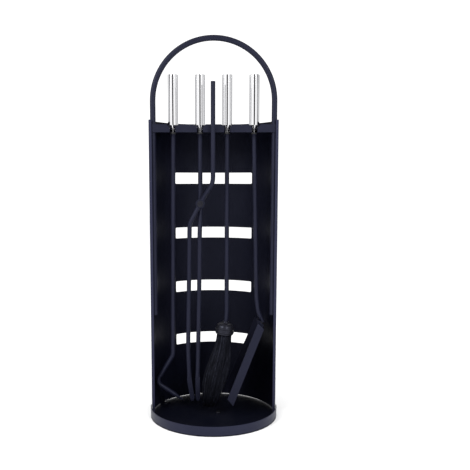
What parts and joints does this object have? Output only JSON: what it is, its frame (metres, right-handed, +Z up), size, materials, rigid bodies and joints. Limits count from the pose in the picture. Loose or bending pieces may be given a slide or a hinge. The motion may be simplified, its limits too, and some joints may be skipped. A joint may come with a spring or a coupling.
{
  "type": "fireplace tool set",
  "caption": "Fireplace tool set: poker, tongs, brush and shovel hanging in a notched rack inside a half-round sheet stand with window slots, a rimmed base and a carrying arch.",
  "frame": {"origin": "centre of the round base's underside", "axes": "+Z up; the open front of the stand faces -Y; +X is to the right seen from the front, on the shovel's side"},
  "size_m": [0.2, 0.2, 0.5857],
  "materials": {
    "black_coat": "satin powder coat",
    "black_screw": "black oxide, semi-matte",
    "black_bush": "matte",
    "polished_steel": "polished",
    "bristle": "coarse fibre"
  },
  "bodies": {
    "stand": {"base_plate": "black_coat", "base_rim": "black_coat", "base_screw": "black_screw", "shell": "black_coat", "foot_brackets": "black_coat", "bracket_screws": "black_screw", "rack": "black_coat", "carry_arch": "black_coat"},
    "poker": {"poker_handle": "polished_steel", "poker_cap": "polished_steel", "poker_bush": "black_bush", "poker_rod": "black_coat"},
    "tongs": {"tongs_handle": "polished_steel", "tongs_cap": "polished_steel", "tongs_bush": "black_bush", "tongs_rod": "black_coat", "tongs_pivot_pin": "black_screw", "tongs_washer": "black_screw"},
    "tongs_free_arm": {"tongs_free_arm": "black_coat"},
    "brush": {"brush_handle": "polished_steel", "brush_cap": "polished_steel", "brush_bush": "black_bush", "brush_rod": "black_coat", "brush_head": "black_coat", "brush_band": "black_coat", "brush_bristles": "bristle"},
    "shovel": {"shovel_handle": "polished_steel", "shovel_cap": "polished_steel", "shovel_bush": "black_bush", "shovel_rod": "black_coat", "shovel_pan": "black_coat", "shovel_rivets": "black_screw"}
  },
  "joints": [
    {"name": "poker_pull", "type": "slide", "parent": "stand", "child": "poker", "axis": [0, -0.9848, 0.1736], "range_m": [0, 0.2]},
    {"name": "tongs_pull", "type": "slide", "parent": "stand", "child": "tongs", "axis": [0, -0.9848, 0.1736], "range_m": [0, 0.2]},
    {"name": "brush_pull", "type": "slide", "parent": "stand", "child": "brush", "axis": [0, -0.9848, 0.1736], "range_m": [0, 0.2]},
    {"name": "shovel_pull", "type": "slide", "parent": "stand", "child": "shovel", "axis": [0, -0.9848, 0.1736], "range_m": [0, 0.2]},
    {"name": "tongs_pivot", "type": "hinge", "parent": "tongs", "child": "tongs_free_arm", "pos_m": [-0.02075, 0.0099, 0.334], "axis": [0, 1, 0], "range_deg": [0, 8]}
  ]
}
